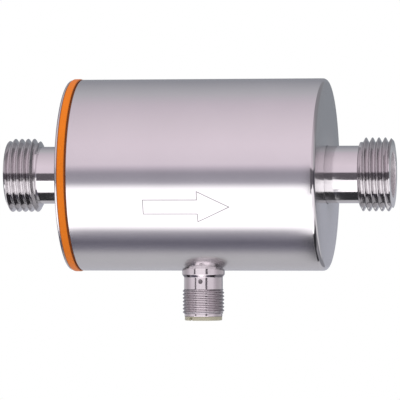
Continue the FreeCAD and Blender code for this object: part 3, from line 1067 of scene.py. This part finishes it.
@dataclass
class PlugConnector:
    """Round threaded connector under the housing, with its insert and four pins."""

    flange_radius: float = 7.8 * MM
    flange_top: float = 21.5 * MM
    flange_low: float = 23.0 * MM
    flange_round: float = 0.3 * MM
    collar_radius: float = 6.04 * MM
    collar_taper: float = 28.15 * MM
    collar_round: float = 0.12 * MM
    neck_radius: float = 5.49 * MM
    neck_from: float = 28.95 * MM
    neck_round: float = 0.08 * MM
    shell_end: float = 40.0 * MM
    land_radius: float = 5.36 * MM
    land_round: float = 0.06 * MM
    thread: ThreadForm = ThreadForm(
        Axis.PLUG, major=5.88 * MM, pitch=1.0 * MM, depth=0.38 * MM, start=32.3 * MM,
        start_radius=neck_radius, start_slope=1.2, end=39.3 * MM, end_radius=land_radius + land_round,
    )
    crest: float = 33.376 * MM
    liner_radius: float = 4.85 * MM
    gap: float = 0.02 * MM
    insert_top: float = 23.6 * MM
    insert_round: float = 0.2 * MM
    shoulder_round: float = 0.1 * MM
    tip_end: float = 41.15 * MM
    tip_radius: float = 5.28 * MM
    tip_round: float = 0.25 * MM
    socket_radius: float = 4.35 * MM
    socket_round: float = 0.15 * MM
    socket_floor: float = 32.7 * MM
    key_angle: float = math.radians(-135)
    key_width: float = 1.2 * MM
    key_setback: float = 0.6 * MM
    notch_angle: float = math.radians(-124)
    notch_size: Place = (2.4 * MM, 1.1 * MM, 1.8 * MM)
    pins: int = 4
    pin_radius: float = 0.5 * MM
    pin_round: float = 0.35 * MM
    pin_circle: float = 2.9 * MM
    pin_tip: float = 40.2 * MM
    pin_tail: float = 20.7 * MM
    pin_steps: int = 32
    dimple_radius: float = 0.8 * MM
    dimple_depth: float = 0.38 * MM
    dimple_at: float = 30.1 * MM
    dimple_detail: int = 4
    steps: int = 128

    def build(self) -> None:
        """Make and dress the shell, the insert and the pins."""
        shell = as_object(self.shell(), "connector_shell_turning")
        carve(shell, self.dimple(), Carving.TAKE_AWAY)
        finish_piece(shell, Finishes.PLUG, ["connector_shell"])
        insert = as_object(self.insert(), "connector_insert_moulding")
        carve(insert, self.key(), Carving.JOIN)
        carve(insert, self.notch(), Carving.TAKE_AWAY)
        finish_piece(insert, Finishes.INSERT, ["connector_insert"])
        pins = as_object(self.pin_set(), "contact_pin_set")
        finish_piece(pins, Finishes.CONTACT, ["contact_pins"])

    def shell(self) -> BMesh:
        """Shell with a flange inside the housing, a collar, a neck and a thread.

        Returns:
            The shell's mesh.
        """
        liner = self.liner_radius + self.gap
        bm = turned(Axis.PLUG, [
            Corner(self.thread.end, self.land_radius),
            Corner(self.shell_end, self.land_radius, self.land_round),
            Corner(self.shell_end, liner),
            Corner(self.flange_top, liner),
            Corner(self.flange_top, self.flange_radius, self.flange_round),
            Corner(self.flange_low, self.flange_radius, self.flange_round),
            Corner(self.flange_low, self.collar_radius),
            Corner(self.collar_taper, self.collar_radius, self.collar_round),
            Corner(self.neck_from, self.neck_radius, self.neck_round),
            Corner(self.thread.start - self.gap, self.neck_radius),
        ], self.steps, closed=False)
        self.thread.cut(bm, self.crest)
        return bm

    def dimple(self) -> BMesh:
        """Ball that presses the small dimple into the front of the neck.

        Returns:
            The ball's mesh.
        """
        bm = bmesh.new()
        spot = Axis.PLUG.point(self.dimple_at, 0)
        spot.y = self.dimple_depth - self.dimple_radius - self.neck_radius
        bmesh.ops.create_icosphere(
            bm, subdivisions=self.dimple_detail, radius=self.dimple_radius, matrix=Matrix.Translation(spot)
        )
        return bm

    def insert(self) -> BMesh:
        """Plastic insert with a round socket.

        Returns:
            The insert's mesh.
        """
        shoulder = self.shell_end + self.gap
        return turned(Axis.PLUG, [
            Corner(self.insert_top, 0.0),
            Corner(self.insert_top, self.liner_radius, self.insert_round),
            Corner(shoulder, self.liner_radius),
            Corner(shoulder, self.tip_radius, self.shoulder_round),
            Corner(self.tip_end, self.tip_radius, self.tip_round),
            Corner(self.tip_end, self.socket_radius, self.socket_round),
            Corner(self.socket_floor, self.socket_radius),
            Corner(self.socket_floor, 0.0),
        ], self.steps)

    def key(self) -> BMesh:
        """Key rib in the socket's wall.

        Returns:
            The rib's mesh.
        """
        height = self.tip_end - self.socket_floor
        level = -self.socket_floor - height / 2 + self.key_setback
        return self.block(self.key_angle, self.socket_radius, (self.key_width, self.key_width, height), level)

    def notch(self) -> BMesh:
        """Notch in the insert's rim."""
        return self.block(self.notch_angle, self.tip_radius, self.notch_size, -self.tip_end)

    def block(self, angle: float, radius: float, size: Place, level: float) -> BMesh:
        """Block on a radius of the connector.

        Args:
            angle: Its direction from the connector's axis.
            radius: Distance of its middle from the axis.
            size: Its size outwards, across and in height.
            level: Height of its middle.

        Returns:
            The block's mesh.
        """
        bm = bmesh.new()
        place = Matrix.Translation((radius, 0, 0)) @ Matrix.Diagonal((*size, 1.0))
        bmesh.ops.create_cube(bm, size=1.0, matrix=place)
        bmesh.ops.rotate(bm, verts=bm.verts[:], cent=(0, 0, 0), matrix=Matrix.Rotation(angle, 3, "Z"))
        bmesh.ops.translate(bm, verts=bm.verts[:], vec=Axis.PLUG.point(-level, 0))
        return bm

    def pin_set(self) -> BMesh:
        """Round pins with rounded tips.

        Returns:
            The mesh of all pins.
        """
        bm = bmesh.new()
        for number in range(self.pins):
            known = set(bm.verts)
            turned(Axis.PLUG, [
                Corner(self.pin_tail, 0.0),
                Corner(self.pin_tail, self.pin_radius),
                Corner(self.pin_tip, self.pin_radius, self.pin_round),
                Corner(self.pin_tip, 0.0),
            ], self.pin_steps, into=bm)
            angle = number * math.tau / self.pins
            offset = Vector((math.cos(angle), math.sin(angle), 0)) * self.pin_circle
            bmesh.ops.translate(bm, verts=added(bm, known), vec=offset)
        return bm


class InnerWorks:
    """Solids inside the housing, which keep their shape and get their finish."""

    FINISHES: dict[Finish, tuple[str, ...]] = {
        Finishes.BLACK_RUBBER: (
            "cover_o_ring", "inlet_gasket", "outlet_gasket", "inlet_o_ring", "outlet_o_ring",
            "electrode_seal_front", "electrode_seal_rear", "connector_gasket",
        ),
        Finishes.TUBE: ("measuring_tube",),
        Finishes.ELECTRODE: ("electrode_front", "electrode_rear", "temperature_sensor"),
        Finishes.PALE_PLASTIC: (
            "electrode_gland_front", "electrode_gland_rear", "connector_spacer",
            "board_carrier_inlet", "board_carrier_outlet",
        ),
        Finishes.IRON: ("pole_piece_upper", "pole_piece_lower", "magnet_yoke"),
        Finishes.SCREW: ("pole_screws", "board_screws", "filter_capacitors"),
        Finishes.DARK_PLASTIC: (
            "coil_bobbin_upper", "coil_bobbin_lower", "processor_chip", "coil_driver_chip", "choke",
        ),
        Finishes.COPPER: ("field_coil_upper", "field_coil_lower"),
        Finishes.LEAD: (
            "coil_lead_upper", "coil_lead_lower", "electrode_lead_front", "electrode_lead_rear",
            "temperature_lead",
        ),
        Finishes.BOARD: ("main_board",),
        Finishes.RIBBON: ("flex_ribbon",),
    }

    def dress(self) -> None:
        """Give each inner solid its finish."""
        for finish, names in self.FINISHES.items():
            for name in names:
                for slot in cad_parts[name].material_slots:
                    slot.material = finish.material()
                log.info("%s: %s", name, finish.name)


class Gradient(Enum):
    """What a card's light changes with: an angle round the flow axis, in degrees, or a coordinate."""

    ANGLE = "angle"
    DEPTH = "Y"
    HEIGHT = "Z"


@dataclass(frozen=True)
class LightBand:
    """Place in a card's gradient and the light there."""

    place: float
    light: Colour


def light_bands(*rows: tuple[float, float, float, float]) -> tuple[LightBand, ...]:
    """Bands of a gradient, from the place and the red, green and blue light of each."""
    return tuple(LightBand(place, tuple(light)) for place, *light in rows)


@dataclass(frozen=True)
class RoundCard:
    """Card bent round the flow axis, from its first band's angle to its last one's."""

    name: str
    radius: float
    from_x: float
    to_x: float
    bands: tuple[LightBand, ...]
    gradient: Gradient = Gradient.ANGLE
    one_sided: bool = False
    steps: int = 96

    def mesh(self) -> BMesh:
        """Part of a tube along the flow axis.

        Returns:
            The card's mesh.
        """
        first, last = (math.radians(band.place) for band in (self.bands[0], self.bands[-1]))
        low, high = -self.radius * math.cos(first), self.radius * math.sin(first)
        bm = bmesh.new()
        ends = [bm.verts.new((x, low, high)) for x in (self.from_x, self.to_x)]
        bmesh.ops.spin(
            bm, geom=[*ends, bm.edges.new(ends)], cent=(0, 0, 0), axis=(-1, 0, 0), dvec=(0, 0, 0),
            angle=last - first, steps=self.steps, use_merge=False, use_duplicate=False,
        )
        return bm


@dataclass(frozen=True)
class FlatCard:
    """Flat card between two corners, which lie at the same place along one axis.

    A one-sided card shines from its front only, and swapping its corners along one side turns it round.
    """

    name: str
    corner: Place
    opposite: Place
    bands: tuple[LightBand, ...]
    gradient: Gradient
    one_sided: bool = False

    def mesh(self) -> BMesh:
        """Grid of one face in the card's place.

        Returns:
            The card's mesh.
        """
        corner, opposite = Vector(self.corner), Vector(self.opposite)
        side, height = (row for row in Matrix.Diagonal((opposite - corner) / 2) if row.length)
        place = Matrix((side, height, side.cross(height))).transposed().to_4x4()
        place.translation = (corner + opposite) / 2
        bm = bmesh.new()
        bmesh.ops.create_grid(bm, x_segments=1, y_segments=1, size=1.0, matrix=place)
        return bm


@dataclass(frozen=True)
class Softbox:
    """Soft lamp that faces the part, for what isn't metal."""

    name: str
    place: Place
    diameter: float
    watts: float

    def build(self) -> None:
        """Make the lamp."""
        light = bpy.data.lights.new(self.name, "AREA")
        light.shape = "DISK"
        light.size = self.diameter
        light.energy = self.watts
        lamp = bpy.data.objects.new(self.name, light)
        lamp.location = self.place
        lamp.rotation_euler = (-Vector(self.place)).to_track_quat("-Z", "Y").to_euler()
        lamp.visible_glossy = False
        bpy.context.scene.collection.objects.link(lamp)


@dataclass
class Studio:
    """White surroundings, a pale floor, soft lamps and the cards that the metal mirrors."""

    ambient: float = 0.75
    floor_level: float = -0.16
    floor_radius: float = 1.5
    floor_steps: int = 96
    floor_colour: Colour = (0.9, 0.9, 0.9)
    floor_roughness: float = 0.9
    floor_clouds: float = 3.0
    floor_change: float = 0.01
    floor_glow: float = 0.2
    brightest: float = 3.4
    tent_radius: float = 0.6
    tent_inlet: float = -0.3
    tent_outlet: float = 0.17
    tent_reach: float = 1.2
    wing_x: float = 0.13
    wing_front: float = -0.125
    wing_back: float = 0.22
    wing_low: float = -0.0755
    wing_top: float = -0.0255

    TENT_BANDS = light_bands(
        (-180, 0.49, 0.50, 0.57),
        (-140, 0.64, 0.63, 0.665),
        (-126, 0.62, 0.61, 0.645),
        (-124, 0.045, 0.045, 0.05),
        (-74.5, 0.045, 0.045, 0.05),
        (-73.5, 2.05, 1.99, 2.05),
        (-23.3, 2.05, 1.99, 2.05),
        (-22.3, 0.16, 0.145, 0.165),
        (6.5, 0.16, 0.145, 0.165),
        (8.5, 1.06, 0.94, 1.04),
        (35, 1.1, 0.965, 1.065),
        (63, 0.98, 0.865, 0.95),
        (90, 0.835, 0.74, 0.825),
        (113, 0.64, 0.635, 0.675),
        (147, 0.37, 0.375, 0.415),
        (180, 0.29, 0.31, 0.34),
    )
    INLET_END_BANDS = light_bands(
        (-180, 0.3, 0.3, 0.33),
        (-126, 0.34, 0.34, 0.37),
        (-124, 0.045, 0.045, 0.05),
        (-74.5, 0.045, 0.045, 0.05),
        (-73.5, 1.6, 1.55, 1.6),
        (-21.5, 1.6, 1.55, 1.6),
        (-20, 0.16, 0.145, 0.165),
        (5.5, 0.16, 0.145, 0.165),
        (7.5, 0.74, 0.66, 0.725),
        (55, 0.6, 0.53, 0.58),
        (85, 0.34, 0.32, 0.35),
        (180, 0.28, 0.29, 0.31),
    )
    OUTLET_END_BANDS = light_bands(
        (-180, 0.3, 0.3, 0.33),
        (-135, 0.3, 0.3, 0.33),
        (-103, 0.36, 0.35, 0.38),
        (-99, 0.045, 0.045, 0.05),
        (-74, 0.045, 0.045, 0.05),
        (-72, 1.6, 1.55, 1.6),
        (-18.5, 1.6, 1.55, 1.6),
        (-17, 0.16, 0.145, 0.165),
        (5.5, 0.16, 0.145, 0.165),
        (7.5, 0.85, 0.755, 0.83),
        (55, 0.7, 0.62, 0.68),
        (85, 0.36, 0.34, 0.37),
        (180, 0.3, 0.31, 0.33),
    )
    CAP_BANDS = light_bands(
        (-0.6, 1.9, 1.85, 1.9),
        (-0.25, 1.9, 1.85, 1.9),
        (-0.22, 0.1, 0.09, 0.11),
        (0.05, 0.1, 0.09, 0.11),
        (0.08, 0.64, 0.6, 0.64),
        (0.6, 0.45, 0.44, 0.47),
    )
    FRONT_BANDS = light_bands(
        (-0.027, 1.9, 1.85, 1.9),
        (-0.0085, 1.9, 1.85, 1.9),
        (-0.0052, 0.5, 0.48, 0.55),
        (0.0012, 0.42, 0.395, 0.46),
        (0.0052, 0.95, 0.84, 0.95),
    )
    LOW_BANDS = light_bands(
        (-0.0510, 1.9, 1.85, 1.9),
        (-0.0455, 0.53, 0.51, 0.56),
        (-0.0317, 0.32, 0.305, 0.37),
        (-0.0201, 0.14, 0.135, 0.18),
        (-0.0077, 0.27, 0.26, 0.32),
        (0.0070, 0.66, 0.65, 0.68),
        (0.0278, 0.66, 0.655, 0.68),
        (0.0407, 0.64, 0.635, 0.665),
    )
    PLUG_BANDS = light_bands(
        (-0.058, 1.7, 1.65, 1.7),
        (-0.036, 1.55, 1.5, 1.55),
        (-0.032, 1.85, 1.8, 1.85),
        (-0.028, 1.85, 1.8, 1.85),
    )
    SIDE_BANDS = light_bands(
        (-0.125, 1.48, 1.43, 1.48),
        (-0.06, 1.34, 1.28, 1.34),
        (-0.025, 1.01, 0.95, 1.01),
        (0.01, 0.8, 0.77, 0.8),
        (0.22, 0.9, 0.9, 0.93),
    )
    MOUTH_BANDS = light_bands((-0.014, 0.6, 0.6, 0.63), (0.012, 0.6, 0.6, 0.63))
    GLOW_BANDS = light_bands((-0.056, 3.4, 3.25, 3.35), (-0.0415, 3.4, 3.25, 3.35))
    FACET_BANDS = light_bands((-0.078, 1.2, 1.15, 1.2), (-0.0565, 1.2, 1.15, 1.2))
    NEAR_CARDS = (
        FlatCard("front_card", (-0.0435, -0.042, -0.027), (0.0342, -0.042, 0.0052),
                 FRONT_BANDS, Gradient.HEIGHT),
        FlatCard("low_card", (-0.055, -0.051, -0.08), (0.0292, 0.0407, -0.08),
                 LOW_BANDS, Gradient.DEPTH),
        FlatCard("plug_card", (-0.051, -0.08, -0.058), (0.0305, -0.08, -0.028),
                 PLUG_BANDS, Gradient.HEIGHT),
        FlatCard("plug_card_inlet", (-0.106, -0.08, -0.058), (-0.07, -0.08, -0.027),
                 SIDE_BANDS, Gradient.DEPTH),
        FlatCard("plug_card_outlet", (0.0505, -0.08, -0.058), (0.106, -0.08, -0.027),
                 SIDE_BANDS, Gradient.DEPTH),
        FlatCard("glow_card", (0.013, -0.0172, -0.056), (-0.015, -0.0172, -0.0415),
                 GLOW_BANDS, Gradient.HEIGHT, one_sided=True),
        FlatCard("facet_card", (0.0106, -0.0172, -0.078), (-0.0106, -0.0172, -0.0565),
                 FACET_BANDS, Gradient.HEIGHT, one_sided=True),
        FlatCard("mouth_card", (0.0905, 0.3, -0.014), (0.0985, 0.3, 0.012),
                 MOUTH_BANDS, Gradient.HEIGHT),
    )
    SOFTBOXES = (
        Softbox("top softbox", (-0.25, -0.35, 1.1), 0.9, 3.8),
        Softbox("front softbox", (0.35, -1.3, 0.25), 0.8, 3.0),
    )

    def build(self) -> None:
        """Set up the light, the floor and the colour management."""
        bpy.context.scene.view_settings.view_transform = "Standard"
        self.surroundings()
        self.floor()
        tent = RoundCard("light_tent", self.tent_radius, self.tent_inlet, self.tent_outlet, self.TENT_BANDS)
        self.card(tent)
        for side in Side:
            self.end_cards(side)
        for card in self.NEAR_CARDS:
            self.card(card)
        for softbox in self.SOFTBOXES:
            softbox.build()

    def end_cards(self, side: Side) -> None:
        """Close the tent at one end and light that side of the plug connector.

        Args:
            side: End of the part.
        """
        way, start, bands = (1, self.tent_outlet, self.OUTLET_END_BANDS)
        if side is Side.INLET:
            way, start, bands = (-1, self.tent_inlet, self.INLET_END_BANDS)
        end = way * self.tent_reach
        radius = self.tent_radius
        wing_x = way * self.wing_x
        low_wing = (wing_x, self.wing_front, self.wing_low)
        high_wing = (wing_x, self.wing_back, self.wing_top)
        low_cap, high_cap = (end, -radius, -radius), (end, radius, radius)
        self.card(RoundCard("tent_end_" + side.value, radius, start, end, bands))
        self.card(FlatCard("tent_cap_" + side.value, low_cap, high_cap, self.CAP_BANDS, Gradient.HEIGHT))
        self.card(FlatCard("plug_wing_" + side.value, low_wing, high_wing, self.SIDE_BANDS, Gradient.DEPTH))

    def surroundings(self) -> None:
        """White world, a little darker as a light than as a background."""
        world = bpy.data.worlds.new("white surroundings")
        world.use_nodes = True
        bpy.context.scene.world = world
        sheet = NodeSheet(world.node_tree)
        path = sheet.add("ShaderNodeLightPath").outputs
        shown = sheet.math("MAXIMUM", path["Is Camera Ray"], path["Is Glossy Ray"])
        shown = sheet.math("MAXIMUM", shown, path["Is Transmission Ray"])
        background = world.node_tree.nodes["Background"]
        sheet.feed(background, "Color", (1, 1, 1, 1))
        sheet.feed(background, "Strength", sheet.remap(shown, 0.0, 1.0, self.ambient, 1.0))

    def floor(self) -> None:
        """Pale round floor, well below the part."""
        bm = bmesh.new()
        place = Matrix.Translation((0, 0, self.floor_level))
        bmesh.ops.create_circle(
            bm, cap_ends=True, segments=self.floor_steps, radius=self.floor_radius, matrix=place
        )
        floor = as_object(bm, "studio_floor")
        if floor.data.polygons[0].normal.z < 0:
            floor.data.flip_normals()
        material = bpy.data.materials.new("pale floor")
        material.use_nodes = True
        sheet = SurfaceSheet(material)
        sheet.cloud(self.floor_colour, self.floor_clouds, self.floor_change)
        sheet.put("Roughness", self.floor_roughness)
        sheet.put("Emission Color", (1, 1, 1, 1))
        camera = sheet.add("ShaderNodeLightPath").outputs["Is Camera Ray"]
        sheet.put("Emission Strength", sheet.math("MULTIPLY", camera, self.floor_glow))
        below = sheet.add("ShaderNodeNewGeometry").outputs["Backfacing"]
        sheet.put("Alpha", sheet.math("SUBTRACT", 1.0, below))
        floor.data.materials.append(material)
        floor.visible_glossy = False

    def card(self, card: RoundCard | FlatCard) -> None:
        """Make a glowing card that is seen in metal and nowhere else.

        Args:
            card: The card.
        """
        piece = as_object(card.mesh(), card.name)
        material = bpy.data.materials.new(card.name + " light")
        material.use_nodes = True
        material.node_tree.nodes.clear()
        sheet = NodeSheet(material.node_tree)
        if card.gradient is Gradient.ANGLE:
            forward = sheet.math("MULTIPLY", sheet.coordinate("Y"), -1.0)
            value = sheet.math("DEGREES", sheet.math("ARCTAN2", sheet.coordinate("Z"), forward))
        else:
            value = sheet.coordinate(card.gradient.value)
        first, last = card.bands[0].place, card.bands[-1].place
        ramp = sheet.add("ShaderNodeValToRGB", {"Fac": sheet.remap(value, first, last)})
        elements = ramp.color_ramp.elements
        while len(elements) < len(card.bands):
            elements.new(0.5)
        for element, band in zip(elements, card.bands):
            element.position = (band.place - first) / (last - first)
            element.color = (*(light / self.brightest for light in band.light), 1.0)
        inputs = {"Color": ramp.outputs["Color"], "Strength": self.brightest}
        surface = sheet.add("ShaderNodeEmission", inputs).outputs[0]
        if card.one_sided:
            back = sheet.add("ShaderNodeNewGeometry").outputs["Backfacing"]
            clear = sheet.add("ShaderNodeBsdfTransparent").outputs[0]
            surface = sheet.add("ShaderNodeMixShader", {0: back, 1: surface, 2: clear}).outputs[0]
        sheet.add("ShaderNodeOutputMaterial", {"Surface": surface})
        material.cycles.emission_sampling = "NONE"
        piece.data.materials.append(material)
        for ray in ("camera", "diffuse", "shadow", "transmission", "volume_scatter"):
            setattr(piece, "visible_" + ray, False)


@dataclass
class PhotoCamera:
    """Camera level with the part, a little towards its outlet end."""

    target: Vector = Vector((-0.00005, 0.00002, -0.00711))
    distance: float = 1.18175
    azimuth: float = math.radians(9.417)
    roll: float = math.radians(0.0986)
    lens: float = 375.87
    sensor: float = 36.0
    nearest: float = 0.05

    def build(self) -> None:
        """Make the camera and use it."""
        data = bpy.data.cameras.new("photo camera")
        data.sensor_width = self.sensor
        data.lens = self.lens
        data.clip_start = self.nearest
        camera = bpy.data.objects.new("photo camera", data)
        way = Vector((math.sin(self.azimuth), -math.cos(self.azimuth), 0))
        camera.location = self.target + way * self.distance
        camera.rotation_euler = (math.pi / 2, self.roll, self.azimuth)
        bpy.context.scene.collection.objects.link(camera)
        bpy.context.scene.camera = camera


def main() -> None:
    """Build and dress the flow sensor, light it and aim the camera."""
    logging.basicConfig(level=logging.INFO, format="%(message)s")
    PhotoCamera().build()
    Housing().build()
    FlowArrow().build()
    for side in (Side.OUTLET, Side.INLET):
        PipeNipple(side).build()
    PlugConnector().build()
    InnerWorks().dress()
    Studio().build()


if __name__ == "__main__":
    main()
